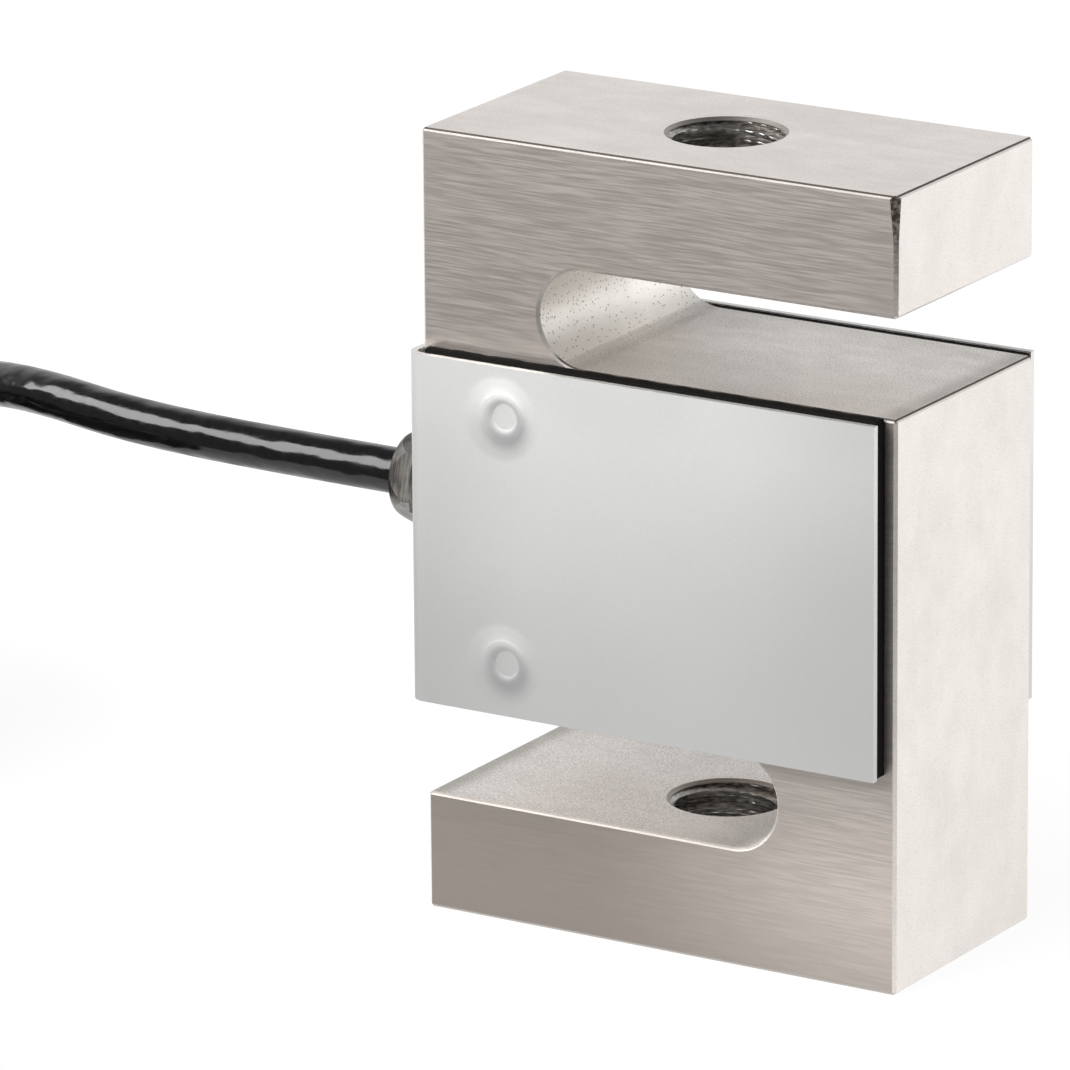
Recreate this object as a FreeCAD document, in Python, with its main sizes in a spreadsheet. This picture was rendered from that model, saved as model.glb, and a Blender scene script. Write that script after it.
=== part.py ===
import FreeCAD, Part
import math
import os

import Sketcher
from FreeCAD import Placement, Rotation, Vector

# S-type load cell for tension and compression, about one tonne, in millimetres.
# The frame: +Z up, +X to the right of the front face, +Y to the back.
# The origin is where the lower thread's axis meets the flat bottom face.

os.makedirs("parts", exist_ok=True)
doc = FreeCAD.newDocument("load_cell")
sheet = doc.addObject("Spreadsheet::Sheet", "sizes")

# Every size that can be set by itself stands here once.
SIZES = {
    # the steel block and its two slots
    "body_width": 50.8,
    "body_depth": 25.4,
    "body_height": 76.2,
    "end_block": 11.5,  # height of the block above or below a slot
    "slot_gap": 9.45,
    "slot_reach": 38.1,  # from the open side to the round end
    "edge_break": 0.3,
    "bevel_top": 0.78,  # the filed corner of the upper block, at its top
    "bevel_waist": 0.37,  # a few millimetres below
    "bevel_foot": 0.31,
    # the two tapped holes, M12, drawn at their major diameter
    "thread_radius": 6.0,
    "thread_mouth": 6.3,
    # the gauge cavity, two crossing bores through the middle bar
    "cavity_radius": 10.5,
    "cavity_spread": 8.5,
    "potting_depth": 5.0,
    # the folded sheet cover and the rubber under it
    "sheet_metal": 0.65,
    "cover_gap": 1.59,  # between the block's face and the panel
    "cover_height": 33.9,
    "cover_setback": 1.05,  # the cover's free edge stops this short of the block's
    "cover_bend": 1.6,  # outer radius of the fold
    "pad_inset": 0.15,
    "dimple_from_left": 9.9,
    "dimple_rise": 12.0,  # each dimple lies this far above or below mid-height
    "dimple_flat": 1.24,  # radius of the welded disc in the middle
    "dimple_depth": 0.62,  # how deep the disc lies
    "dimple_sweep": 8.0,  # radius of the faint bend where a dimple leaves the panel
    "dimple_lip": 1.9,  # radius of the tighter bend towards the disc
    "spacer_radius": 2.2,
    # the cable gland in the left face
    "shank_radius": 4.0,
    "shank_length": 5.0,
    "shank_room": 0.06,
    "washer_thick": 0.8,
    "washer_radius": 5.8,
    "gland_flats": 10.7,
    "gland_hex_length": 5.15,
    "gland_socket_radius": 3.3,
    "gland_socket_depth": 4.5,
    "gland_screw_flats": 8.3,
    "gland_screw_head": 3.0,
    "gland_screw_stem": 2.8,
    "gland_corner_turn": 17.0,  # degrees
    "hex_chamfer": 0.55,
    "screw_taper": 1.7,  # how far the screw's corners are turned down to a slim cone
    # the cable, its cores and its inner end
    "cable_radius": 2.25,
    "cable_room": 0.1,
    "core_radius": 0.6,
    "core_ring": 1.15,
    "strand_radius": 0.38,
    # the coil of put-away cable
    "coil_centre_x": -118.0,
    "coil_centre_y": -16.5,
    "coil_lift": 0.8,  # the ties lie under it
    "coil_mean_radius": 23.0,
    "coil_pitch": 4.55,
    "coil_columns": 4,
    "coil_layers": 5,
    "end_start": 117.0,  # degrees round the coil, where the sheath ends
    "sleeve_span": 24.0,
    "core_span": 42.0,
    "strand_span": 15.0,
    "notch_span": 86.0,
    "tie_width": 2.5,
    "tie_thick": 0.8,
    "tie_room": 0.08,
    "tie_head": 4.2,
    # the parts inside the cavity
    "gauge_thick": 0.2,
    "gauge_span": 28.0,  # degrees of the bore's wall
    "gauge_width": 5.0,
    "wire_radius": 0.2,
    "board_width": 11.0,
    "board_height": 12.0,
    "board_thick": 0.8,
    "pad_pitch": 2.2,
}
for row, (alias, value) in enumerate(SIZES.items(), start=1):
    sheet.set(f"A{row}", alias)
    sheet.set(f"B{row}", str(value))
    sheet.setAlias(f"B{row}", alias)
doc.recompute()


class Dim:
    """A size worked out from the sheet: its number and the formula that gives it."""

    def __init__(self, value, text):
        self.value = value
        self.text = text

    def __add__(self, other):
        other = dim(other)
        return Dim(self.value + other.value, f"({self.text} + {other.text})")

    def __sub__(self, other):
        other = dim(other)
        return Dim(self.value - other.value, f"({self.text} - {other.text})")

    def __mul__(self, other):
        other = dim(other)
        return Dim(self.value * other.value, f"({self.text} * {other.text})")

    def __truediv__(self, other):
        other = dim(other)
        return Dim(self.value / other.value, f"({self.text} / {other.text})")

    def __neg__(self):
        return Dim(-self.value, f"(0 - {self.text})")


def dim(size):
    return size if isinstance(size, Dim) else Dim(float(size), repr(float(size)))


def size(alias):
    return Dim(float(sheet.get(alias)), f"sizes.{alias}")


def bind(thing, name, value):
    thing.setExpression(name, dim(value).text)


def labelled(kind, name):
    thing = doc.addObject(kind, name)
    thing.Label = name
    return thing


def sketch_on(body, plane, name, offset=(0, 0, 0)):
    """A sketch on one of the body's own origin planes, moved by offset in its own directions."""
    sketch = body.newObject("Sketcher::SketchObject", name)
    sketch.AttachmentSupport = [(next(f for f in body.Origin.OriginFeatures if f.Role == plane), "")]
    sketch.MapMode = "FlatFace"
    for letter, move in zip("xyz", offset):
        if dim(move).value:
            bind(sketch, f"AttachmentOffset.Base.{letter}", move)
    return sketch


def fix_point(sketch, geometry, point, x, y):
    """Ties one point of the sketch to formulas; None leaves that direction to the arc that ends there."""
    for kind, place in (("DistanceX", x), ("DistanceY", y)):
        if place is not None:
            place = dim(place)
            number = sketch.addConstraint(Sketcher.Constraint(kind, -1, 1, geometry, point, place.value))
            bind(sketch, f"Constraints[{number}]", place)


def outline(sketch, corners, arcs=None, seeds=None):
    """A closed outline through the corners. arcs gives the centre, and the turning sense, of a round side
    that starts at that corner; seeds gives a start value where a corner's place is left to its arc."""
    arcs = arcs or {}
    seeds = seeds or {}
    count = len(corners)

    def spot(i):
        x, y = corners[i % count]
        guess = seeds.get(i % count, (0.0, 0.0))
        return Vector(dim(x).value if x is not None else guess[0], dim(y).value if y is not None else guess[1], 0)

    sides = []
    for i in range(count):
        start, end = spot(i), spot(i + 1)
        if i in arcs:
            centre = Vector(dim(arcs[i][0]).value, dim(arcs[i][1]).value, 0)
            radius = (start - centre).Length
            a = math.atan2(start.y - centre.y, start.x - centre.x)
            b = math.atan2(end.y - centre.y, end.x - centre.x)
            turning = arcs[i][2]
            first, last = (a, b) if turning > 0 else (b, a)
            circle = Part.Circle(centre, Vector(0, 0, 1), radius)
            side = sketch.addGeometry(Part.ArcOfCircle(circle, first, last))
            sides.append((side, 1, 2) if turning > 0 else (side, 2, 1))
            fix_point(sketch, side, 3, arcs[i][0], arcs[i][1])
        else:
            side = sketch.addGeometry(Part.LineSegment(start, end))
            sides.append((side, 1, 2))
    for i in range(count):
        side, _, end = sides[i]
        following, start, _ = sides[(i + 1) % count]
        sketch.addConstraint(Sketcher.Constraint("Coincident", side, end, following, start))
    for i, (x, y) in enumerate(corners):
        side, start, _ = sides[i]
        fix_point(sketch, side, start, x, y)


def rounded_box(sketch, near, far, low, high, bend):
    """An upright rectangle with four rounded corners."""
    corners = [
        (near + bend, None),
        (far - bend, low),
        (None, low + bend),
        (far, high - bend),
        (far - bend, None),
        (near + bend, high),
        (None, high - bend),
        (near, low + bend),
    ]
    arcs = {
        1: (far - bend, low + bend, 1),
        3: (far - bend, high - bend, 1),
        5: (near + bend, high - bend, 1),
        7: (near + bend, low + bend, 1),
    }
    seeds = {0: (0, low.value), 2: (far.value, 0), 4: (0, high.value), 6: (near.value, 0)}
    outline(sketch, corners, arcs, seeds)


def ring_outline(sketch, x, y, radius):
    """A full circle about (x, y)."""
    circle = sketch.addGeometry(Part.Circle(Vector(dim(x).value, dim(y).value, 0), Vector(0, 0, 1), dim(radius).value))
    fix_point(sketch, circle, 3, x, y)
    number = sketch.addConstraint(Sketcher.Constraint("Radius", circle, dim(radius).value))
    bind(sketch, f"Constraints[{number}]", radius)


def feature(body, kind, sketch, name, **settings):
    """A sketch-based feature of the body; its volume change is compared, so a cut that misses is found."""
    doc.recompute()
    before = body.Shape.Volume if body.Tip else 0.0
    item = body.newObject(f"PartDesign::{kind}", name)
    item.Profile = sketch
    for key, value in settings.items():
        if isinstance(value, Dim):
            bind(item, key, value)
        else:
            setattr(item, key, value)
    doc.recompute()
    change = body.Shape.Volume - before
    adds = kind in ("Pad", "Revolution", "AdditiveLoft")
    if (change > 0) != adds or abs(change) < 1e-4:
        raise ValueError(f"{body.Label}: {name} changes the volume by {change:.4f}")
    return item


def pad(body, sketch, name, length, **settings):
    return feature(body, "Pad", sketch, name, Length=dim(length), **settings)


def pocket(body, sketch, name, length, **settings):
    return feature(body, "Pocket", sketch, name, Length=dim(length), **settings)


def turned(body, kind, sketch, name, axis):
    """A revolution or groove once round an axis of its own sketch."""
    return feature(body, kind, sketch, name, ReferenceAxis=(sketch, [axis]), Angle=360.0)


def hexagon(sketch, flats, corner_turn):
    """A hexagon about the sketch's origin, its first corner turned by some degrees from the first direction."""
    corner = flats / (2 * math.cos(math.radians(30)))
    corners = []
    for k in range(6):
        angle = math.radians(60 * k + corner_turn.value)
        corners.append((corner * math.cos(angle), corner * math.sin(angle)))
    outline(sketch, corners)


def move_to(thing, x=0, y=0, z=0, rotation=None):
    """Places a sub-part: its turn is set, and its place is tied to the sheet."""
    thing.Placement = Placement(Vector(dim(x).value, dim(y).value, dim(z).value), rotation or Rotation())
    for letter, place in zip("xyz", (x, y, z)):
        if isinstance(place, Dim):
            bind(thing, f"Placement.Base.{letter}", place)


# Places that several pieces share.
left = -(size("body_width") / 2)
right = size("body_width") / 2
front = -(size("body_depth") / 2)
back = size("body_depth") / 2
middle = size("body_height") / 2
lower_slot_floor = size("end_block")
lower_slot_roof = size("end_block") + size("slot_gap")
upper_slot_floor = size("body_height") - lower_slot_roof
upper_slot_roof = size("body_height") - lower_slot_floor
slot_radius = size("slot_gap") / 2
cover_foot = middle - size("cover_height") / 2
cover_inner = size("body_depth") / 2 + size("cover_gap")
cover_outer = cover_inner + size("sheet_metal")
cover_end = right - size("cover_setback")
dimple_x = left + size("dimple_from_left")
dimple_heights = {"upper": middle + size("dimple_rise"), "lower": middle - size("dimple_rise")}
dimple_foot = size("dimple_flat") + 0.06  # where the tighter bend ends
dimple_change = dimple_foot + 1.0  # where the one bend runs into the other
dimple_reach = dimple_change + size("dimple_sweep") * 0.15
web_outer = left - size("sheet_metal")
washer_outer = web_outer - size("washer_thick")
hex_outer = washer_outer - size("gland_hex_length")
head_outer = hex_outer - size("gland_screw_head")


# The S-shaped steel block. Its outline is cut from one bar and both slots end in a full round.
def s_body():
    body = labelled("PartDesign::Body", "s_body")
    profile = sketch_on(body, "XZ_Plane", "s_outline")
    upper_round = right - size("slot_reach") + slot_radius
    lower_round = left + size("slot_reach") - slot_radius
    upper_middle = upper_slot_floor + slot_radius
    lower_middle = lower_slot_floor + slot_radius
    corners = [
        (left, 0),
        (right, 0),
        (right, upper_slot_floor),
        (upper_round, upper_slot_floor),
        (upper_round, None),
        (right, upper_slot_roof),
        (right, size("body_height")),
        (left, size("body_height")),
        (left, lower_slot_roof),
        (lower_round, lower_slot_roof),
        (lower_round, None),
        (left, lower_slot_floor),
    ]
    arcs = {3: (upper_round, upper_middle, -1), 9: (lower_round, lower_middle, -1)}
    seeds = {4: (0, upper_slot_roof.value), 10: (0, lower_slot_floor.value)}
    outline(profile, corners, arcs, seeds)
    pad(body, profile, "s_block", size("body_depth"), SideType="Symmetric")

    # Every outer edge is broken a little; the seams where a slot's flats meet its round end are not edges.
    block = body.Tip
    half_depth, half_width = back.value, right.value
    names = []
    for number, edge in enumerate(block.Shape.Edges, start=1):
        box = edge.BoundBox
        on_face = min(abs(box.YMin - y) + abs(box.YMax - y) for y in (-half_depth, half_depth)) < 1e-6
        on_side = min(abs(box.XMin - x) + abs(box.XMax - x) for x in (-half_width, half_width)) < 1e-6
        if on_face or on_side:
            names.append(f"Edge{number}")
    broken = body.newObject("PartDesign::Chamfer", "broken_edges")
    broken.Base = (block, names)
    bind(broken, "Size", size("edge_break"))
    doc.recompute()

    # The right front corner of the upper block is filed by hand, wider at the top.
    sections = []
    for name, height, leg in (
        ("bevel_foot_section", upper_slot_roof, size("bevel_foot")),
        ("bevel_waist_section", size("body_height") - 4.2, size("bevel_waist")),
        ("bevel_top_section", size("body_height"), size("bevel_top")),
    ):
        section = sketch_on(body, "XY_Plane", name, (0, 0, height))
        outline(section, [(right + 1, front - 1), (right + 1, front + leg), (right, front + leg), (right - leg, front), (right - leg, front - 1)])
        sections.append(section)
    feature(body, "SubtractiveLoft", sections[0], "filed_corner", Sections=sections[1:], Ruled=True)

    # Two tapped holes on the block's own axis, each with a countersunk mouth at both ends.
    sink = size("thread_mouth") - size("thread_radius")
    for name, foot in (("lower_thread", dim(0)), ("upper_thread", upper_slot_roof)):
        hole = sketch_on(body, "XZ_Plane", name + "_section", (0, foot, 0))
        outline(
            hole,
            [
                (0, -sink),
                (size("thread_mouth") + sink, -sink),
                (size("thread_radius"), sink),
                (size("thread_radius"), size("end_block") - sink),
                (size("thread_mouth") + sink, size("end_block") + sink),
                (0, size("end_block") + sink),
            ],
        )
        turned(body, "Groove", hole, name, "V_Axis")

    # The gauge cavity: two bores side by side that run into each other, from front to back.
    for name, place in (("right_bore", size("cavity_spread")), ("left_bore", -size("cavity_spread"))):
        bore = sketch_on(body, "XZ_Plane", name + "_section")
        ring_outline(bore, place, middle, size("cavity_radius"))
        pocket(body, bore, name, size("body_depth") + 2, SideType="Symmetric")

    # The way in for the cable: a tapped seat for the gland, then a smaller hole into the cavity.
    way_in = sketch_on(body, "XZ_Plane", "cable_way_section", (0, middle, 0))
    seat_end = left + size("shank_length")
    cable_hole = size("cable_radius") + size("cable_room")
    outline(
        way_in,
        [
            (left - 1, 0),
            (left - 1, size("shank_radius")),
            (seat_end, size("shank_radius")),
            (seat_end, cable_hole),
            (-size("cavity_spread"), cable_hole),
            (-size("cavity_spread"), 0),
        ],
    )
    turned(body, "Groove", way_in, "cable_way", "H_Axis")
    return body


# The cover: one strip of sheet folded round the left side, its front and rear panels spot-welded to the block.
def cover():
    body = labelled("PartDesign::Body", "cover")
    bend = size("cover_bend")
    inner_bend = bend - size("sheet_metal")
    folded = sketch_on(body, "XY_Plane", "folded_strip", (0, 0, cover_foot))
    corners = [
        (cover_end, -cover_outer),
        (cover_end, -cover_inner),
        (left + inner_bend, -cover_inner),
        (None, -cover_inner + inner_bend),
        (left, cover_inner - inner_bend),
        (left + inner_bend, None),
        (cover_end, cover_inner),
        (cover_end, cover_outer),
        (web_outer + bend, cover_outer),
        (None, cover_outer - bend),
        (web_outer, -cover_outer + bend),
        (web_outer + bend, None),
    ]
    arcs = {
        2: (left + inner_bend, -cover_inner + inner_bend, -1),
        4: (left + inner_bend, cover_inner - inner_bend, -1),
        8: (web_outer + bend, cover_outer - bend, 1),
        10: (web_outer + bend, -cover_outer + bend, 1),
    }
    seeds = {3: (left.value, 0), 5: (0, cover_inner.value), 9: (web_outer.value, 0), 11: (0, -cover_outer.value)}
    outline(folded, corners, arcs, seeds)
    pad(body, folded, "strip", size("cover_height"))

    hole = sketch_on(body, "YZ_Plane", "gland_hole_section", (0, 0, web_outer - 1))
    ring_outline(hole, 0, middle, size("shank_radius") + size("shank_room"))
    pocket(body, hole, "gland_hole", size("sheet_metal") + 2, Reversed=True)

    # The sheet is drawn down round each spot weld, like a shallow funnel with a flat disc at its bottom.
    for side, sign in (("front", -1), ("rear", 1)):
        for level, height in dimple_heights.items():
            opening = sketch_on(body, "XZ_Plane", f"{side}_{level}_opening", (0, 0, -(cover_inner * sign)))
            ring_outline(opening, dimple_x, height, dimple_reach)
            pocket(body, opening, f"{side}_{level}_cleared", size("sheet_metal") * 2, SideType="Symmetric")
            section = sketch_on(body, "XY_Plane", f"{side}_{level}_dimple_section", (dimple_x, 0, height))
            dimple_section(section, sign)
            turned(body, "Revolution", section, f"{side}_{level}_dimple", "V_Axis")
    return body


def dimple_section(section, sign):
    """Half the section of a dimple, from its axis to where it leaves the panel, with the sheet's own thickness."""
    metal, flat, disc = size("sheet_metal"), size("dimple_flat"), size("dimple_depth")
    sweep, lip = size("dimple_sweep"), size("dimple_lip")
    # The two bends meet at a slope whose sine is 0.15 and whose cosine is 0.98869.
    lip_across = dimple_change + lip * 0.15
    lip_down = sweep * (1 - 0.98869) + lip * 0.98869

    def across(depth):
        return (cover_outer - depth) * sign

    corners = [
        (dimple_reach, across(dim(0))),
        (dimple_change, None),
        (dimple_foot, None),
        (flat, across(disc)),
        (0, across(disc)),
        (0, across(disc + metal)),
        (flat + 0.2, across(disc + metal)),
        (lip_across - (lip - metal) * 0.68, across(lip_down - (lip - metal) * 0.7332)),
        (lip_across - (lip - metal) * 0.15, None),
        (dimple_reach, None),
    ]
    outer_bend, inner_bend = (dimple_reach, across(sweep)), (lip_across, across(lip_down))
    arcs = {
        0: (*outer_bend, sign),
        1: (*inner_bend, sign),
        7: (*inner_bend, -sign),
        8: (*outer_bend, -sign),
    }
    seeds = {
        1: (0, across(sweep * 0.01131).value),
        2: (0, across(lip_down - lip * 0.7366).value),
        8: (0, across(lip_down - (lip - metal) * 0.98869).value),
        9: (0, across(metal).value),
    }
    outline(section, corners, arcs, seeds)


# A steel spacer under each dimple carries the spot weld from the sheet to the block.
def weld_spacer(side, sign, level):
    body = labelled("PartDesign::Body", f"{side}_{level}_spacer")
    thick = size("cover_gap") - size("dimple_depth")
    start = sketch_on(body, "XZ_Plane", f"{side}_{level}_spacer_outline", (0, 0, -(size("body_depth") / 2 + thick / 2) * sign))
    ring_outline(start, dimple_x, dimple_heights[level], size("spacer_radius"))
    pad(body, start, f"{side}_{level}_spacer_disc", thick, SideType="Symmetric")
    return body


# A black rubber pad fills the gap between the block's face and each panel, cleared round the dimples.
def seal_pad(side, sign):
    body = labelled("PartDesign::Body", f"{side}_seal_pad")
    start = sketch_on(body, "XZ_Plane", f"{side}_pad_outline", (0, 0, -(size("body_depth") / 2 + size("cover_gap") / 2) * sign))
    left_edge = left + size("cover_bend") - size("sheet_metal")
    right_edge = cover_end - size("pad_inset")
    foot = cover_foot + size("pad_inset")
    head = cover_foot + size("cover_height") - size("pad_inset")
    outline(start, [(left_edge, foot), (right_edge, foot), (right_edge, head), (left_edge, head)])
    for height in dimple_heights.values():
        ring_outline(start, dimple_x, height, dimple_reach + 0.1)
    pad(body, start, f"{side}_pad_sheet", size("cover_gap"), SideType="Symmetric")
    return body


# Soft potting closes each mouth of the cavity, flush with the block's face.
def potting(side, sign):
    body = labelled("PartDesign::Body", f"{side}_potting")
    for name, place in (("right_half", size("cavity_spread")), ("left_half", -size("cavity_spread"))):
        half = sketch_on(body, "XZ_Plane", f"{side}_{name}", (0, 0, -(size("body_depth") / 2 - size("potting_depth") / 2) * sign))
        ring_outline(half, place, middle, size("cavity_radius"))
        pad(body, half, f"{side}_{name}_plug", size("potting_depth"), SideType="Symmetric")
    return body


# Four foil strain gauges are bonded where the bar is thinnest, at the top and bottom of each bore.
def strain_gauge(name, bore_sign, height_sign):
    span = size("gauge_span")
    start = 90 * height_sign - span.value / 2
    shells = []
    for part, radius, spare in (
        ("backing", size("cavity_radius"), dim(0)),
        ("hollow", size("cavity_radius") - size("gauge_thick"), dim(1)),
    ):
        shell = labelled("Part::Cylinder", f"{name}_{part}")
        bind(shell, "Radius", radius)
        bind(shell, "Height", size("gauge_width") + spare * 2)
        bind(shell, "Angle", span)
        upright = Rotation(Vector(1, 0, 0), 90)
        turned_by = upright.multiply(Rotation(Vector(0, 0, 1), start))
        move_to(shell, size("cavity_spread") * bore_sign, size("gauge_width") / 2 + spare, middle, turned_by)
        shells.append(shell)
    gauge = labelled("Part::Cut", name)
    gauge.Base, gauge.Tool = shells
    return gauge


# The small circuit board that joins the gauge wires to the cable's cores, bonded to the rear potting.
def terminal_board():
    body = labelled("PartDesign::Body", "terminal_board")
    half_width, half_height = size("board_width") / 2, size("board_height") / 2
    face = -(size("body_depth") / 2 - size("potting_depth"))
    plate = sketch_on(body, "XZ_Plane", "board_outline", (0, 0, face))
    outline(
        plate,
        [
            (-half_width, middle - half_height),
            (half_width, middle - half_height),
            (half_width, middle + half_height),
            (-half_width, middle + half_height),
        ],
    )
    pad(body, plate, "board_plate", size("board_thick"))
    return body


def gland_body():
    body = labelled("PartDesign::Body", "gland_body")
    flats = sketch_on(body, "YZ_Plane", "gland_hexagon", (0, middle, hex_outer))
    hexagon(flats, size("gland_flats"), size("gland_corner_turn"))
    pad(body, flats, "gland_hex", size("gland_hex_length"))
    shank = sketch_on(body, "YZ_Plane", "shank_section", (0, middle, washer_outer))
    ring_outline(shank, 0, 0, size("shank_radius"))
    pad(body, shank, "shank", left + size("shank_length") - washer_outer)
    chamfer_hex(body, "gland", size("gland_flats"), hex_outer, 1, size("hex_chamfer"), math.sqrt(3))
    chamfer_hex(body, "gland_foot", size("gland_flats"), washer_outer, -1, size("hex_chamfer"), math.sqrt(3))
    bores = sketch_on(body, "XZ_Plane", "gland_bores_section", (0, middle, 0))
    socket_end = hex_outer + size("gland_socket_depth")
    inner_end = left + size("shank_length") + 1
    cable_hole = size("cable_radius") + size("cable_room")
    outline(
        bores,
        [
            (hex_outer - 1, 0),
            (hex_outer - 1, size("gland_socket_radius")),
            (socket_end, size("gland_socket_radius")),
            (socket_end, cable_hole),
            (inner_end, cable_hole),
            (inner_end, 0),
        ],
    )
    turned(body, "Groove", bores, "gland_bores", "H_Axis")
    return body


def chamfer_hex(body, name, flats, face, inward, depth, slope):
    """Turns the corners of a hexagon to a cone at one end, so deep along the axis and slope times that across."""
    chamfer = sketch_on(body, "XZ_Plane", f"{name}_chamfer_section", (0, middle, 0))
    reach = flats / (2 * math.cos(math.radians(30)))
    rim = reach - depth * slope
    outline(
        chamfer,
        [
            (face - depth * inward, rim),
            (face, rim),
            (face + depth * inward, reach),
            (face + depth * inward, reach + 1),
            (face - depth * inward, reach + 1),
        ],
    )
    turned(body, "Groove", chamfer, f"{name}_chamfer", "H_Axis")


# The hollow screw that squeezes the rubber seal round the cable.
def gland_screw():
    body = labelled("PartDesign::Body", "gland_screw")
    flats = sketch_on(body, "YZ_Plane", "screw_hexagon", (0, middle, head_outer))
    hexagon(flats, size("gland_screw_flats"), size("gland_corner_turn"))
    pad(body, flats, "screw_head", size("gland_screw_head"))
    stem = sketch_on(body, "YZ_Plane", "stem_section", (0, middle, hex_outer))
    ring_outline(stem, 0, 0, size("gland_socket_radius"))
    pad(body, stem, "screw_stem", size("gland_screw_stem"))
    chamfer_hex(body, "screw", size("gland_screw_flats"), head_outer, 1, size("screw_taper"), 0.42)
    bore = sketch_on(body, "XZ_Plane", "screw_bore_section", (0, middle, 0))
    hole = size("cable_radius") + size("cable_room")
    stem_end = hex_outer + size("gland_screw_stem")
    outline(
        bore,
        [
            (head_outer - 1, 0),
            (head_outer - 1, hole + 1.4),
            (head_outer + 0.4, hole),
            (stem_end + 1, hole),
            (stem_end + 1, 0),
        ],
    )
    turned(body, "Groove", bore, "screw_bore", "H_Axis")
    return body


def round_part(name, start, end, outer, inner):
    """A plain ring on the cable's axis, from start to end."""
    body = labelled("PartDesign::Body", name)
    section = sketch_on(body, "YZ_Plane", f"{name}_section", (0, middle, start))
    ring_outline(section, 0, 0, outer)
    ring_outline(section, 0, 0, inner)
    pad(body, section, f"{name}_ring", end - start)
    return body


def rounded_path(points):
    """Straight runs joined by tangent arcs, each as large as its two runs allow."""
    edges = []
    radii = []
    at = points[0]
    for before, corner, after in zip(points, points[1:], points[2:]):
        to_corner = (corner - before).normalize()
        from_corner = (after - corner).normalize()
        half_turn = to_corner.getAngle(from_corner) / 2
        reach = 0.45 * min((corner - before).Length, (after - corner).Length)
        radius = reach / math.tan(half_turn)
        start = corner - to_corner * reach
        end = corner + from_corner * reach
        inward = (from_corner - to_corner).normalize()
        crest = corner + inward * (radius / math.cos(half_turn) - radius)
        edges.append(Part.LineSegment(at, start).toShape())
        edges.append(Part.Arc(start, crest, end).toShape())
        radii.append(radius)
        at = end
    edges.append(Part.LineSegment(at, points[-1]).toShape())
    return Part.Wire(edges), radii


def tube(name, points, radius):
    """A round tube along the rounded path; its volume is compared with its section times its length."""
    wire, radii = rounded_path(points)
    spine = labelled("Part::Feature", f"{name}_path")
    spine.Shape = wire
    section = labelled("Part::Circle", f"{name}_section")
    bind(section, "Radius", radius)
    section.Placement = Placement(points[0], Rotation(Vector(0, 0, 1), points[1] - points[0]))
    solid = labelled("Part::Sweep", name)
    solid.Sections = [section]
    solid.Spine = (spine, [f"Edge{n}" for n in range(1, len(wire.Edges) + 1)])
    solid.Solid = True
    doc.recompute()
    expected = math.pi * radius.value**2 * wire.Length
    if abs(solid.Shape.Volume / expected - 1) > 0.01:
        raise ValueError(f"{name}: volume {solid.Shape.Volume:.2f}, expected {expected:.2f}")
    return solid, radii, wire.Length


# The cable from its end inside the cavity, out through the gland and down to the coil. Chosen by hand.
CABLE_ROUTE = [
    Vector(-17, 0, 38.1),
    Vector(-41.5, 0, 38.1),
    Vector(-66.2, 0.55, 38.3),
    Vector(-82, 4.2, 39.0),
    Vector(-94.5, 9.3, 36.6),
    Vector(-106.2, 12.4, 33.1),
    Vector(-118, 12.4, 30.9),
]


def cable():
    solid, radii, length = tube("cable", CABLE_ROUTE, size("cable_radius"))
    print("cable: radii", [round(r, 1) for r in radii], "length", round(length, 1))
    return solid


def column_radius(column):
    """Radius of one column of turns; the columns nest, so they lie closer than a diameter."""
    step = size("coil_pitch") * math.cos(math.radians(30))
    return size("coil_mean_radius") + step * (column - (SIZES["coil_columns"] - 1) / 2)


# The outer shape of the coil: a ring, the last of the incoming turn on top of it, and a notch for the free end.
def cable_coil():
    ring = labelled("PartDesign::Body", "coil_ring")
    inner = column_radius(0) - size("cable_radius")
    outer = column_radius(SIZES["coil_columns"] - 1) + size("cable_radius")
    foot = size("coil_lift")
    top = coil_top()
    section = sketch_on(ring, "XZ_Plane", "ring_section")
    rounded_box(section, inner, outer, foot, top, size("cable_radius"))
    turned(ring, "Revolution", section, "ring", "V_Axis")
    move_to(ring, size("coil_centre_x"), size("coil_centre_y"), 0)

    # The incoming turn lands on the ring in a plane that slopes as the cable's last run does.
    along = (CABLE_ROUTE[-1] - CABLE_ROUTE[-2]).normalize()
    level = Vector(0, 0, 1).cross(along).normalize()
    radius = column_radius(SIZES["coil_columns"] - 1)
    centre = CABLE_ROUTE[-1] + level * radius.value
    entry = labelled("Part::Torus", "landing_turn")
    bind(entry, "Radius1", radius)
    bind(entry, "Radius2", size("cable_radius"))
    entry.Angle3 = 92.0
    entry.Placement = Placement(centre, Rotation(-level, along, (-level).cross(along), "XYZ"))
    joined = labelled("Part::Fuse", "wound_turns")
    joined.Base, joined.Tool = ring, entry

    notch = labelled("Part::Cylinder", "free_end_notch")
    bind(notch, "Radius", column_radius(0) + size("cable_radius"))
    bind(notch, "Height", size("cable_radius") * 3)
    bind(notch, "Angle", size("notch_span"))
    turn = Rotation(Vector(0, 0, 1), SIZES["end_start"])
    move_to(notch, size("coil_centre_x"), size("coil_centre_y"), free_end_height() - size("cable_radius"), turn)
    coil = labelled("Part::Cut", "cable_coil")
    coil.Base, coil.Tool = joined, notch
    return coil


def coil_top():
    return size("coil_lift") + size("cable_radius") * 2 + size("coil_pitch") * (SIZES["coil_layers"] - 0.5)


def free_end_height():
    """Centre height of the top turn in the innermost column, where the cable ends."""
    return coil_top() - size("cable_radius")


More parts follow.
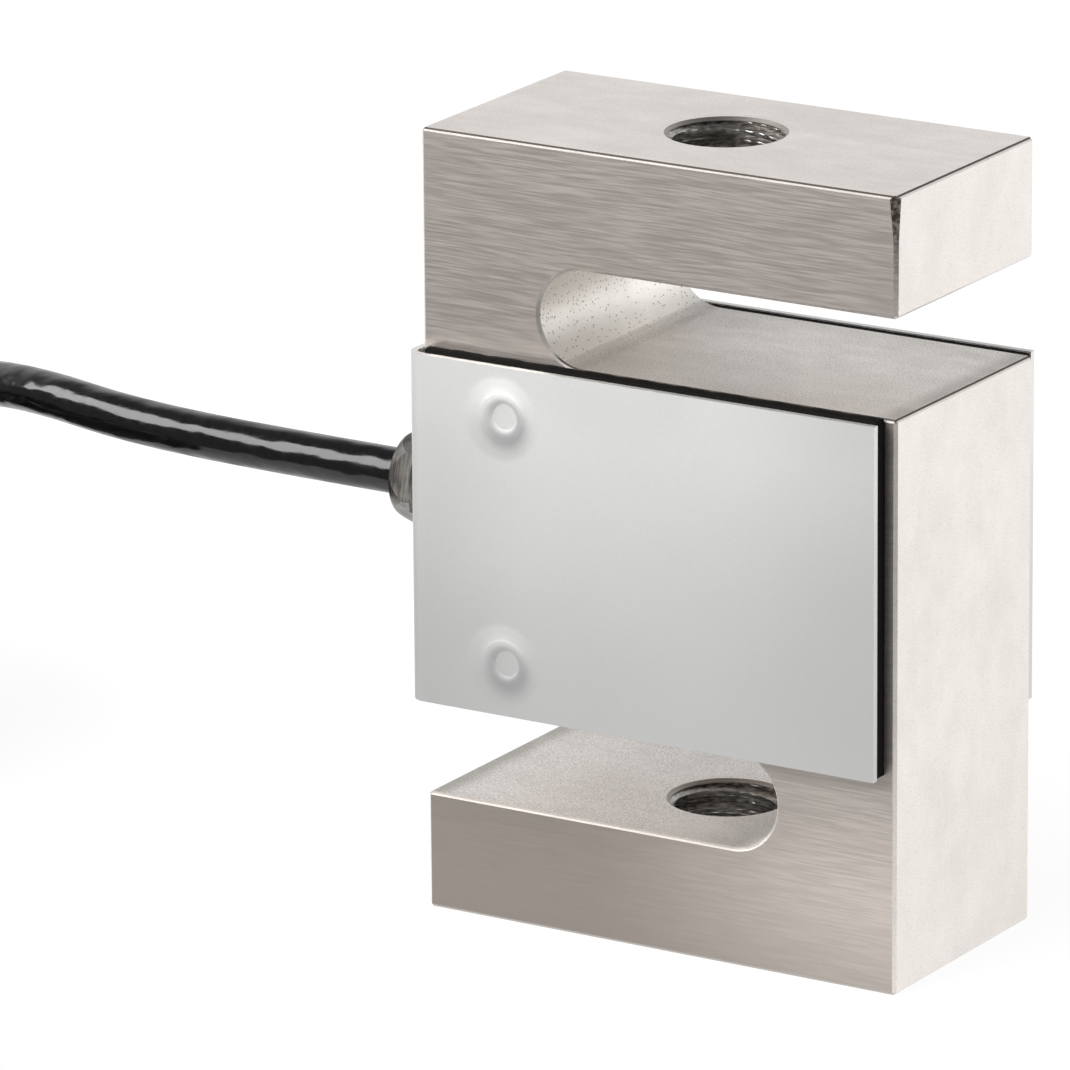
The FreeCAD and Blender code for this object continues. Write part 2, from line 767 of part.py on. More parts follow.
def coil_arc(name, start, span, radius, tube_radius, height):
    """A piece of round section that follows the coil's innermost column."""
    piece = labelled("Part::Torus", name)
    bind(piece, "Radius1", radius)
    bind(piece, "Radius2", tube_radius)
    bind(piece, "Angle3", span)
    turn = Rotation(Vector(0, 0, 1), start.value)
    move_to(piece, size("coil_centre_x"), size("coil_centre_y"), height, turn)
    return piece


CORES = ("red", "black", "green", "white", "shield")


def core_place(number):
    """Where a core lies in the cable's section: across, up."""
    angle = math.radians(90 + 72 * number)
    return size("core_ring") * math.cos(angle), size("core_ring") * math.sin(angle)


def free_core(number, colour):
    """The free end of a core: its insulation and the tinned strands beyond it."""
    across, up = core_place(number)
    radius, height = column_radius(0) + across, free_end_height() + up
    start = size("end_start") + size("sleeve_span")
    insulation = coil_arc(f"{colour}_insulation", start, size("core_span"), radius, size("core_radius"), height)
    strands_start = start + size("core_span") - 1
    strands = coil_arc(f"{colour}_strands", strands_start, size("strand_span") + 1, radius, size("strand_radius"), height)
    core = labelled("Part::Fuse", f"{colour}_core_free_end")
    core.Base, core.Tool = insulation, strands
    return core


def inner_core(number, colour):
    """The inner end of a core, from the cable's cut end to its pad on the terminal board."""
    across, up = core_place(number)
    end = CABLE_ROUTE[0]
    heights = [(round(core_place(n)[1].value, 3), core_place(n)[0].value, n) for n in range(len(CORES))]
    rank = [n for _, _, n in sorted(heights)].index(number)
    pad_z = middle.value + (rank - (len(CORES) - 1) / 2) * SIZES["pad_pitch"]
    pad_x = -SIZES["board_width"] / 2 + 1.5
    board_face = back.value - SIZES["potting_depth"] - SIZES["board_thick"]
    points = [
        Vector(end.x, end.y + across.value, end.z + up.value),
        Vector(end.x + 4, end.y + across.value, end.z + up.value),
        Vector(pad_x, board_face - 4.5 + across.value / 2, pad_z),
        Vector(pad_x, board_face, pad_z),
    ]
    return tube(f"{colour}_core_inner_end", points, size("core_radius"))[0]


def gauge_wire(name, bore_sign, height_sign):
    """The wire from one gauge to the terminal board."""
    wall = SIZES["cavity_radius"] - SIZES["gauge_thick"] - SIZES["wire_radius"]
    x = SIZES["cavity_spread"] * bore_sign
    z = middle.value + wall * height_sign
    board_face = back.value - SIZES["potting_depth"] - SIZES["board_thick"]
    pad_x = (SIZES["board_width"] / 2 - 1.2) * (1 if bore_sign > 0 else 0.2)
    pad_z = middle.value + (SIZES["board_height"] / 2 - 1.2) * height_sign * (1 if bore_sign > 0 else 0.8)
    points = [
        Vector(x, 1.0, z),
        Vector(x, 3.6, z - 0.15 * height_sign),
        Vector(pad_x, board_face - 2.4, pad_z),
        Vector(pad_x, board_face, pad_z),
    ]
    return tube(name, points, size("wire_radius"))[0]


# A nylon tie round the bundle of turns: a flat band with its small locking head inside the ring.
def coil_tie(name, angle):
    body = labelled("PartDesign::Body", name)
    room, thick = size("tie_room"), size("tie_thick")
    inner = column_radius(0) - size("cable_radius") - room
    outer = column_radius(SIZES["coil_columns"] - 1) + size("cable_radius") + room
    foot, top = size("coil_lift"), coil_top() + room
    for label, grow in (("band", thick), ("bundle", dim(0))):
        section = sketch_on(body, "XZ_Plane", f"{name}_{label}")
        rounded_box(section, inner - grow, outer + grow, foot - grow, top + grow, size("cable_radius") + grow)
        if label == "band":
            pad(body, section, f"{name}_{label}_solid", size("tie_width"), SideType="Symmetric")
        else:
            pocket(body, section, f"{name}_{label}_way", size("tie_width") + 2, SideType="Symmetric")
    head = sketch_on(body, "XZ_Plane", f"{name}_head_section")
    head_middle = (foot + top) / 2
    half = size("tie_head") / 2
    near = inner - thick
    outline(
        head,
        [
            (near - thick * 3, head_middle - half),
            (near + thick / 2, head_middle - half),
            (near + thick / 2, head_middle + half),
            (near - thick * 3, head_middle + half),
        ],
    )
    pad(body, head, f"{name}_head", size("tie_width") + size("tie_thick") * 2, SideType="Symmetric")
    move_to(body, size("coil_centre_x"), size("coil_centre_y"), 0, Rotation(Vector(0, 0, 1), angle))
    return body


nodes = [s_body(), cover()]
for side, sign in (("front", -1), ("rear", 1)):
    nodes.append(seal_pad(side, sign))
    nodes.append(potting(side, sign))
    nodes.append(weld_spacer(side, sign, "upper"))
    nodes.append(weld_spacer(side, sign, "lower"))
for bore, bore_sign in (("left", -1), ("right", 1)):
    for level, height_sign in (("upper", 1), ("lower", -1)):
        nodes.append(strain_gauge(f"{level}_{bore}_gauge", bore_sign, height_sign))
        nodes.append(gauge_wire(f"{level}_{bore}_gauge_wire", bore_sign, height_sign))
nodes.append(terminal_board())
nodes.append(gland_body())
nodes.append(gland_screw())
seal_inner = hex_outer + size("gland_socket_depth")
seal_outer = hex_outer + size("gland_screw_stem")
nodes.append(round_part("gland_seal", seal_outer, seal_inner, size("gland_socket_radius"), size("cable_radius")))
nodes.append(
    round_part("gland_washer", washer_outer, web_outer, size("washer_radius"), size("shank_radius") + size("shank_room"))
)
nodes.append(cable())
nodes.append(cable_coil())
nodes.append(
    coil_arc("end_sleeve", size("end_start"), size("sleeve_span"), column_radius(0), size("cable_radius"), free_end_height())
)
for number, colour in enumerate(CORES):
    nodes.append(inner_core(number, colour))
    nodes.append(free_core(number, colour))
nodes.append(coil_tie("first_coil_tie", 45))
nodes.append(coil_tie("second_coil_tie", 285))

doc.recompute()
for thing in doc.Objects:
    if "Invalid" in thing.State or "Error" in thing.State:
        raise ValueError(f"{thing.Label} failed: {thing.State}")
for node in nodes:
    shape = node.Shape
    if shape.isNull() or not shape.isValid() or not shape.Solids:
        raise ValueError(f"{node.Label} has no valid solid")
for node in nodes:
    node.Shape.exportStep(f"parts/{node.Label}.step")
    box = node.Shape.BoundBox
    print(
        f"{node.Label}: {len(node.Shape.Solids)} solid, {node.Shape.Volume:.2f} mm3,"
        f" x {box.XMin:.2f} to {box.XMax:.2f}, y {box.YMin:.2f} to {box.YMax:.2f}, z {box.ZMin:.2f} to {box.ZMax:.2f}"
    )
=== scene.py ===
# %% [markdown]
# This lesson dresses an S-type load cell: a nickel-plated steel block cut to an S by two slots, a folded
# steel cover over its middle, and a black cable that leaves through a gland. The exact shapes come from the
# CAD model, which stays where it is. Blender adds the camera, the light, the finishes, the threads and the
# real cable.

# %% Start: the CAD model and the tools
import math

import bpy
from mathutils import Matrix, Vector


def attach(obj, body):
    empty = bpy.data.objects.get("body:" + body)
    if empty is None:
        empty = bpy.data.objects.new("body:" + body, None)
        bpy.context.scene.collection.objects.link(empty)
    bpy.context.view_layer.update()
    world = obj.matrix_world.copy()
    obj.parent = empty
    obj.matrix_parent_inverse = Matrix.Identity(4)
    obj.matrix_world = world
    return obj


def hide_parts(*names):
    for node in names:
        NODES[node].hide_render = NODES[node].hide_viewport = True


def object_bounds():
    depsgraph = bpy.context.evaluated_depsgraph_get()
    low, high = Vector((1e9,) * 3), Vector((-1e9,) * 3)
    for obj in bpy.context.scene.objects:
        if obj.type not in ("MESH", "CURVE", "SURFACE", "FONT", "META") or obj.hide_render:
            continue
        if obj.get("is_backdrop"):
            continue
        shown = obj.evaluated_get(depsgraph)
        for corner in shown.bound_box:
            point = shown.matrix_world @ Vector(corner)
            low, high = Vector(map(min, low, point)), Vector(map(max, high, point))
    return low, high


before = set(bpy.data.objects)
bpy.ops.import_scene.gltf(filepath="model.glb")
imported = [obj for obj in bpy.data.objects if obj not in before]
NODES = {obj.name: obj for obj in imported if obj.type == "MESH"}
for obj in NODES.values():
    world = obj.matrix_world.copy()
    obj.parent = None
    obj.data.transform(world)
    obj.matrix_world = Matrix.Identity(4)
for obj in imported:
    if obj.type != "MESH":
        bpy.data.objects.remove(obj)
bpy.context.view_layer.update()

MM = 0.001
scene = bpy.context.scene
print(len(NODES), "CAD nodes")

# %% [markdown]
# The photograph was taken with a long lens from the right and a little above. Its camera was worked out
# from the block's corners: where it stands, which way it turns, and a slight roll. The offsets slide the
# camera sideways without turning it, which keeps the picture's centre off the object, as in the photograph.

# %% The camera
AZIMUTH, ELEVATION, ROLL = math.radians(31.886), math.radians(16.765), math.radians(-0.466)
TARGET = Vector((0, 0, 38.1)) * MM
DISTANCE, SLIDE_RIGHT, SLIDE_UP = 922.9 * MM, -17.978 * MM, -0.765 * MM
FOCAL_PIXELS, FRAME_PIXELS = 9874.1, 1070
SENSOR_WIDTH = 36  # millimetres, which is the unit of Blender's lenses too


def place_camera():
    level = Vector((math.cos(AZIMUTH), math.sin(AZIMUTH), 0))
    toward = Vector((math.sin(AZIMUTH), -math.cos(AZIMUTH), 0))
    back = toward * math.cos(ELEVATION) + Vector((0, 0, math.sin(ELEVATION)))
    upright = back.cross(level)
    right = math.cos(ROLL) * level + math.sin(ROLL) * upright
    up = -math.sin(ROLL) * level + math.cos(ROLL) * upright
    place = TARGET + back * DISTANCE + right * SLIDE_RIGHT + up * SLIDE_UP
    data = bpy.data.cameras.new("photo_camera")
    data.sensor_width = SENSOR_WIDTH
    data.lens = FOCAL_PIXELS * SENSOR_WIDTH / FRAME_PIXELS
    camera = bpy.data.objects.new("photo_camera", data)
    camera.matrix_world = Matrix.Translation(place) @ Matrix((right, up, back)).transposed().to_4x4()
    scene.collection.objects.link(camera)
    scene.camera = camera
    return camera


camera = place_camera()
print("camera at, mm:", [round(x / MM, 1) for x in camera.location], "lens", round(camera.data.lens, 1))

# %% [markdown]
# The cable leaves the gland level, sags a little, passes out of the picture on the left and goes down to a
# coil on the floor, where the rest of its three metres is put away. A NURBS curve suits a cable: one smooth
# line with a round section. Its first points are the ones of the CAD tube, so that both lie in the same
# place.

# %% The cable's way from the gland to the coil
CABLE_RADIUS = 2.25 * MM
CABLE_ROUTE = [
    (-0.0170, 0.0000, 0.0381),
    (-0.0415, 0.0000, 0.0381),
    (-0.0662, 0.00055, 0.0383),
    (-0.0820, 0.0042, 0.0390),
    (-0.0945, 0.0093, 0.0366),
    (-0.1062, 0.0124, 0.0331),
    (-0.1180, 0.0124, 0.0309),
]
LANDING = Vector(CABLE_ROUTE[-1])
print("the cable lands on the coil at, mm:", [round(x / MM, 1) for x in LANDING])

# %% [markdown]
# In the coil the turns lie in four columns that nest in each other, so a column is 0.87 of a diameter
# further out than the last. Each column is filled down or up before the next. A turn moves over to its next
# place in one short stretch of the circle, as in a coil wound by hand. The first quarter turn slopes down
# on to the others.

# %% The coil's turns
COIL_CENTRE = Vector((-0.1180, -0.0165, 0))
COIL_RADIUS, LANDING_RADIUS, LANDING_HEIGHT = 23.0 * MM, 28.9 * MM, 25.8 * MM
FLOOR_GAP = 0.8 * MM  # the ties pass under the coil
PITCH = 4.55 * MM
COLUMNS, LAYERS = 4, 5
STEP = 15  # degrees between the curve's points round the coil
OUTSIDE = 1 / math.cos(math.radians(STEP / 2))  # the curve cuts inside its points by this much
MOVE_START, MOVE_SPAN = 180, 90
END_ANGLE = 477


def turn_places():
    """(radius, height) of each turn in the order it is wound, from the landing turn above the rest."""
    places = [(LANDING_RADIUS, LANDING_HEIGHT)]
    for column in range(COLUMNS):
        radius = COIL_RADIUS + PITCH * math.cos(math.radians(30)) * ((COLUMNS - 1) / 2 - column)
        low = FLOOR_GAP + CABLE_RADIUS + (PITCH / 2 if column % 2 else 0)
        layers = range(LAYERS) if column % 2 else range(LAYERS - 1, -1, -1)
        places += [(radius, low + PITCH * layer) for layer in layers]
    return places


def landing_points():
    """The quarter turn that takes the cable from its way out on to the coil."""
    along = (LANDING - Vector(CABLE_ROUTE[-2])).normalized()
    inward = Vector((0, 0, 1)).cross(along).normalized()
    centre = LANDING + inward * LANDING_RADIUS
    ways = [math.radians(STEP / 2 + STEP * i) for i in range(90 // STEP)]
    return [centre + LANDING_RADIUS * OUTSIDE * (along * math.sin(w) - inward * math.cos(w)) for w in ways]


def wound_points():
    places = turn_places()
    wound, last = STEP / 2, 360 * (len(places) - 3) + END_ANGLE - MOVE_START
    points = []
    while wound < last + STEP:
        at = min(wound, last)
        turn, local = int(at // 360), at % 360
        moved = min(local / MOVE_SPAN, 1)
        moved = moved * moved * (3 - 2 * moved)
        here, after = places[turn], places[turn + 1]
        radius = (here[0] + (after[0] - here[0]) * moved) * (OUTSIDE if wound < last else 1)
        height = here[1] + (after[1] - here[1]) * moved
        way = math.radians(MOVE_START + at)
        points.append(COIL_CENTRE + Vector((radius * math.cos(way), radius * math.sin(way), height)))
        wound += STEP
    return points


print(len(turn_places()), "places for turns,", len(wound_points()), "points round the coil")


# %% The cable as one curve
def make_cable():
    curve = bpy.data.curves.new("cable_with_coil", "CURVE")
    curve.dimensions = "3D"
    curve.bevel_depth = 1.0  # times each point's own radius
    curve.bevel_resolution = 7
    curve.resolution_u = 5
    curve.use_fill_caps = True
    points = [Vector(p) for p in CABLE_ROUTE[:-1]] + landing_points() + wound_points()
    spline = curve.splines.new("NURBS")
    spline.points.add(len(points) - 1)
    for point, place in zip(spline.points, points):
        point.co = (*place, 1)
        point.radius = CABLE_RADIUS
    spline.order_u = 3
    spline.use_endpoint_u = True
    cable = bpy.data.objects.new("cable_with_coil", curve)
    scene.collection.objects.link(cable)
    return cable, sum((b - a).length for a, b in zip(points, points[1:]))


cable, drawn_length = make_cable()
print("cable's drawn length, m:", round(drawn_length, 3))
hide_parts("cable", "cable_coil")
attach(cable, "root")

# %% [markdown]
# A shader is a small network of nodes. One function adds a node, sets it up and links it, so that each
# finish below reads as a list of what it is made of. Colours are written as sRGB hex values, as a colour
# picker shows them, and turned to the linear values that the renderer counts in. Places in a finish are in
# millimetres.


# %% One function for every node
def linear(colour):
    """sRGB hex to linear red, green, blue and alpha."""
    channels = [int(colour[i : i + 2], 16) / 255 for i in (1, 3, 5)]
    return tuple(c / 12.92 if c <= 0.04045 else ((c + 0.055) / 1.055) ** 2.4 for c in channels) + (1.0,)


def add(tree, kind, *values, output=None, **named):
    """Adds a node and returns its first output in use, or the one named by output.

    The values fill the inputs in use, in order. A named value goes to the setting of that name or else to the
    input, with spaces for its underscores. A colour may be a hex string. A node's output is linked.
    """
    node = tree.nodes.new("ShaderNode" + kind)
    for name, value in named.items():
        if hasattr(node, name):
            setattr(node, name, value)
    in_use = [socket for socket in node.inputs if socket.enabled]
    filled = list(zip(in_use, values))
    for name, value in named.items():
        if not hasattr(node, name):
            filled.append((next(s for s in in_use if s.name == name.replace("_", " ")), value))
    for socket, value in filled:
        if isinstance(value, bpy.types.NodeSocket):
            tree.links.new(value, socket)
        else:
            socket.default_value = linear(value) if isinstance(value, str) else value
    if output is not None:
        return node.outputs[output]
    return next((socket for socket in node.outputs if socket.enabled), None)


print("#808080 is linear", round(linear("#808080")[0], 3))


# %% The scale of a pattern
def noise_scale(*waves_mm):
    """For waves this long, or this long along x, y and z: a wave is about two cells of the noise texture."""
    scales = [2 / wave for wave in waves_mm]
    return scales[0] if len(scales) == 1 else scales


print("scale for waves of 0.4 mm:", noise_scale(0.4))


# %% The start and the end of each finish
def new_finish(name):
    """An empty material, its tree, and a point's place in the part's own frame, in millimetres."""
    material = bpy.data.materials.new(name)
    material.use_nodes = True
    tree = material.node_tree
    tree.nodes.clear()
    place = add(tree, "VectorMath", add(tree, "TexCoord", output="Object"), operation="SCALE", Scale=1 / MM)
    return material, tree, place


def finish_with(tree, **sockets):
    """The shader itself: Base_Color, Roughness and so on name its inputs."""
    add(tree, "OutputMaterial", Surface=add(tree, "BsdfPrincipled", **sockets))


def wear(node, material):
    """Puts a finish on a piece in place of the plain one that it came with."""
    node.data.materials.clear()
    node.data.materials.append(material)
    return node


# %% [markdown]
# Metal shows its surroundings more than its own colour. Here they are those of a product photograph: white
# paper under and behind the block, up to about a third of the way overhead, and a dark room above and
# behind the camera. The paper ends a little in front of the block, so the front mirrors mostly dark room
# and looks darker than the top and the right side, which mirror paper. The paper keeps a soft shadow, and
# looks white to the camera and in reflections.

# %% The floor
PAPER_FRONT, PAPER_REACH, PAPER_LEVEL, FIBRE_LENGTH = -48, 3000, -0.02, 4  # millimetres
GLOW_SHARE, GLOW = 0.85, 1.06  # of the paper as the camera and mirrors see it; the rest shows the shadow


def make_floor():
    mesh = bpy.data.meshes.new("studio_floor")
    left, right, front, rear = -PAPER_REACH, PAPER_REACH, PAPER_FRONT, PAPER_REACH
    corners = [(left, front), (right, front), (right, rear), (left, rear)]
    mesh.from_pydata([(x * MM, y * MM, PAPER_LEVEL * MM) for x, y in corners], [], [(0, 1, 2, 3)])
    floor = bpy.data.objects.new("studio_floor", mesh)
    scene.collection.objects.link(floor)
    material, tree, place = new_finish("white_studio_paper")
    fibres = add(tree, "TexNoise", Vector=place, Scale=noise_scale(FIBRE_LENGTH))
    relief = add(tree, "Bump", Height=fibres, Distance=0.01 * MM)
    paper = add(tree, "BsdfDiffuse", "#e9e9e9", 0.5, Normal=relief)
    path = add(tree, "LightPath").node.outputs
    seen = add(tree, "Math", path["Is Camera Ray"], path["Is Glossy Ray"], operation="MAXIMUM")
    seen = add(tree, "Math", seen, path["Is Transmission Ray"], operation="MAXIMUM")
    share = add(tree, "Math", seen, GLOW_SHARE, operation="MULTIPLY")
    add(tree, "OutputMaterial", add(tree, "MixShader", share, paper, add(tree, "Emission", "#ffffff", GLOW)))
    floor.data.materials.append(material)
    floor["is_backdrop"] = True
    return floor


floor = make_floor()
print("floor, m:", [round(x, 2) for x in floor.dimensions])

# %% [markdown]
# The room is the world's colour, which the direction of a ray picks: paper behind the block, dark
# elsewhere. Two soft lamps do the rest. A wide one on the front left gives the cable its pale band, the
# dimples their glow and the upper edges their bright line. One on the right brings the right side up.

# %% The lamps and the surroundings
ROOM_LIGHT, ROOM_IN_MIRRORS = 0.55, 0.2
MIDDLE_OF_BLOCK = (0, 0, 40)


def make_lamp(name, place_mm, size_mm, watts):
    """A soft rectangular lamp that looks at the middle of the block."""
    data = bpy.data.lights.new(name, "AREA")
    data.shape = "RECTANGLE"
    data.size, data.size_y = size_mm[0] * MM, size_mm[1] * MM
    data.energy = watts
    lamp = bpy.data.objects.new(name, data)
    place, aim = Vector(place_mm) * MM, Vector(MIDDLE_OF_BLOCK) * MM
    turn = (aim - place).to_track_quat("-Z", "Y")
    lamp.matrix_world = Matrix.Translation(place) @ turn.to_matrix().to_4x4()
    scene.collection.objects.link(lamp)
    return lamp


def surround_with_room():
    world = bpy.data.worlds.new("studio")
    scene.world = world
    world.use_nodes = True
    tree = world.node_tree
    tree.nodes.clear()
    way = add(tree, "SeparateXYZ", add(tree, "TexCoord", output="Generated")).node.outputs
    behind = add(tree, "MapRange", way["Y"], -0.25, 0.35, 0, 1, interpolation_type="SMOOTHSTEP")
    sweep = add(tree, "MapRange", way["Z"], 0.46, 0.80, behind, 0, interpolation_type="SMOOTHSTEP")
    path = add(tree, "LightPath").node.outputs
    mirrored = add(tree, "Math", path["Is Glossy Ray"], path["Is Transmission Ray"], operation="MAXIMUM")
    paper = add(tree, "Math", mirrored, sweep, operation="MULTIPLY")
    seen = add(tree, "Math", path["Is Camera Ray"], paper, operation="MAXIMUM")
    strength = add(tree, "MapRange", mirrored, 0, 1, ROOM_LIGHT, ROOM_IN_MIRRORS)
    room = add(tree, "Background", "#ffffff", strength)
    white = add(tree, "Background", "#ffffff", 1.0)
    add(tree, "OutputWorld", add(tree, "MixShader", seen, room, white))


scene.view_settings.view_transform = "Standard"
surround_with_room()
left_lamp = make_lamp("front_left_softbox", (-330, -430, 385), (900, 330), 6.8)
right_lamp = make_lamp("right_softbox", (640, 260, 130), (420, 420), 1.0)
print("lamps, W:", left_lamp.data.energy, right_lamp.data.energy)

# %% [markdown]
# The block is alloy steel, ground and dull nickel plated. Nickel is a warm grey metal. Grinding leaves fine
# lines along the bar on the front and back. The narrow sides and the top were blasted finer and show a
# mottled grain with tiny pits. The slots were milled and blasted, which leaves them coarse and speckled.
# One corner of the upper block was broken by hand with a file, which leaves dark notches. A face's
# direction and place, in the part's own frame, tell which finish it gets. Each share below is narrowed line
# by line: a later line takes the last one as its limit.

# %% Where each finish of the block lies
HALF_WIDTH, HALF_DEPTH, MID_HEIGHT = 25.4, 12.7, 38.1  # of the block, millimetres
BAR_FACE, END_FACE = 17.15, 26.6  # a slot's two flat walls, from the mid height
HOLE_MOUTH = 6.3


def steel_zones(tree, place):
    """Shares from 0 to 1. round_end is part of a slot; shaded is painted shade in a slot; rim is a painted
    dark edge line.
    """
    facing = add(tree, "SeparateXYZ", add(tree, "TexCoord", output="Normal")).node.outputs
    up = facing["Z"]
    nx, ny, nz = [add(tree, "Math", part, operation="ABSOLUTE") for part in facing]
    x, y, z = add(tree, "SeparateXYZ", place).node.outputs
    ahead, across = [add(tree, "Math", part, operation="ABSOLUTE") for part in (y, x)]
    zones = {"ground": add(tree, "MapRange", ny, 0.75, 0.95, 0, 1)}
    # a slot's walls lie between the end blocks and the bar in height, and on no outer face
    level = add(tree, "Math", z, MID_HEIGHT, operation="SUBTRACT")
    off_middle = add(tree, "Math", level, operation="ABSOLUTE")
    slot = add(tree, "MapRange", ny, 0.3, 0.5, 1, 0)
    slot = add(tree, "MapRange", across, HALF_WIDTH - 0.4, HALF_WIDTH - 0.3, slot, 0)
    slot = add(tree, "MapRange", off_middle, BAR_FACE - 0.05, BAR_FACE + 0.01, 0, slot)
    zones["slot"] = slot = add(tree, "MapRange", off_middle, END_FACE + 0.02, END_FACE + 0.08, slot, 0)
    zones["round_end"] = round_end = add(tree, "MapRange", nz, 0.88, 0.99, slot, 0)
    # the filed corner is the upper right one on the front
    corner = add(tree, "MapRange", add(tree, "Math", nx, ny, operation="MINIMUM"), 0.4, 0.55, 0, 1)
    corner = add(tree, "MapRange", z, 64.5, 66, 0, corner)
    zones["corner"] = add(tree, "MapRange", add(tree, "Math", x, y, operation="SUBTRACT"), 33, 35, 0, corner)
    # the upper slot is open on the right and the lower one on the left
    outward = add(tree, "Math", x, add(tree, "Math", level, operation="SIGN"), operation="MULTIPLY")
    flat = add(tree, "Math", slot, round_end, operation="SUBTRACT")
    # painted shade on a slot's flat walls, darker deep in towards the round end and near the open end
    deep = add(tree, "MapRange", outward, -12, 4, 0.45, 0, interpolation_type="SMOOTHSTEP")
    near = HALF_WIDTH - 3, HALF_WIDTH - 0.8
    open_end = add(tree, "MapRange", outward, *near, 0, 0.5, interpolation_type="SMOOTHSTEP")
    both = add(tree, "Math", deep, open_end, operation="ADD")
    zones["shaded"] = add(tree, "Math", both, flat, operation="MULTIPLY")
    # broken edges, and the holes' countersunk mouths
    from_axis = add(tree, "VectorMath", add(tree, "CombineXYZ", x, y), operation="LENGTH")
    in_hole = add(tree, "MapRange", from_axis, HOLE_MOUTH + 0.02, HOLE_MOUTH + 0.06, 1, 0)
    off_hole = add(tree, "Math", 1.0, in_hole, operation="SUBTRACT")
    zones["mouth"] = add(tree, "MapRange", nz, 0.85, 0.95, in_hole, 0)
    sloping = add(tree, "Math", ny, nz, operation="MINIMUM")
    zones["edges"] = add(tree, "MapRange", sloping, 0.5, 0.65, 0, off_hole)
    # painted shade: the part of an upper edge's slope that lies more than 0.15 mm inside the outline
    from_front = add(tree, "Math", HALF_DEPTH, ahead, operation="SUBTRACT")
    from_side = add(tree, "Math", HALF_WIDTH, across, operation="SUBTRACT")
    from_outline = add(tree, "Math", from_front, from_side, operation="MINIMUM")
    rim = add(tree, "Math", off_hole, round_end, operation="SUBTRACT")
    rim = add(tree, "MapRange", up, 0.5, 0.6, 0, rim)
    rim = add(tree, "MapRange", up, 0.85, 0.95, rim, 0)
    zones["rim"] = add(tree, "MapRange", from_outline, 0.13, 0.17, 0, rim)
    return zones


print("lower slot from", MID_HEIGHT - END_FACE, "to", round(MID_HEIGHT - BAR_FACE, 2), "mm")
print("upper slot from", MID_HEIGHT + BAR_FACE, "to", round(MID_HEIGHT + END_FACE, 2), "mm")


# %% The patterns in the plated steel
# millimetres; three numbers are lengths along x, y and z
LINES = (8.33, 3.33, 0.2857)  # real lines are finer: three or four in a millimetre are as fine as shows
WANDER, WANDER_HEIGHT = (40, 40, 25), 0.45  # how the lines leave the level, and how far up or down
CLOUDS = (20, 10, 14.29)
NOTCHES = (0.909, 0.909, 0.7143)  # of the file
GRAIN_WIDTH = 0.3077  # of the blasting grit; the real one is finer, but would not show
PIT_SPACING = 0.4167


def grinding_lines(tree, place):
    stretched = add(tree, "VectorMath", place, noise_scale(*WANDER), operation="MULTIPLY")
    wander = add(tree, "TexNoise", stretched, Scale=1.0, Detail=1.0)
    shift = add(tree, "MapRange", wander, 0, 1, -WANDER_HEIGHT, WANDER_HEIGHT)
    lifted = add(tree, "VectorMath", place, add(tree, "CombineXYZ", Z=shift), operation="ADD")
    stretched = add(tree, "VectorMath", lifted, noise_scale(*LINES), operation="MULTIPLY")
    return add(tree, "TexNoise", stretched, Scale=1.0, Detail=1.5)


def blasted_pits(tree, place, zones):
    """Some cells of a scattered pattern have a dark middle, up to 0.2 mm wide, darkest in the round ends."""
    cells = add(tree, "TexVoronoi", place, Scale=1 / PIT_SPACING).node.outputs
    share = add(tree, "MapRange", zones["slot"], 0, 1, 0.13, 0.25)
    share = add(tree, "Math", zones["round_end"], 0.5, share, operation="MULTIPLY_ADD")
    share = add(tree, "MapRange", zones["ground"], 0, 1, share, 0)
    share = add(tree, "MapRange", add(tree, "SeparateColor", cells["Color"]), 0.42, 0.44, 0, share)
    return add(tree, "MapRange", cells["Distance"], 0.14, 0.26, share, 0)


print("scales of the lines:", [round(scale, 2) for scale in noise_scale(*LINES)])


# %% The colours of the ground and the blasted faces
# the grey of the painted shade on the ground faces and on the edges
PAINTED_SHADE_GREY = "#8f8780"


def ground_colour(tree, lines, x, z):
    """The front and back, with painted shade towards the lower left and along the foot."""
    ridges = add(tree, "MapRange", lines, 0.38, 0.64, 0, 1)
    colour = add(tree, "Mix", ridges, "#cdc4bd", "#d8cfc8", data_type="RGBA")
    # painted shade, darker towards the lower left and low on the block
    painted_shade_lower_left = add(tree, "MapRange", z, 10, 26, 0.8, 0, interpolation_type="SMOOTHSTEP")
    painted_shade_lower_left = add(tree, "MapRange", x, -10, 25, painted_shade_lower_left, 0, interpolation_type="SMOOTHSTEP")
    colour = add(tree, "Mix", painted_shade_lower_left, colour, PAINTED_SHADE_GREY, data_type="RGBA")
    # painted shade along the foot
    return add(tree, "Mix", add(tree, "MapRange", z, 0, 9, 0.55, 0), colour, PAINTED_SHADE_GREY, data_type="RGBA")


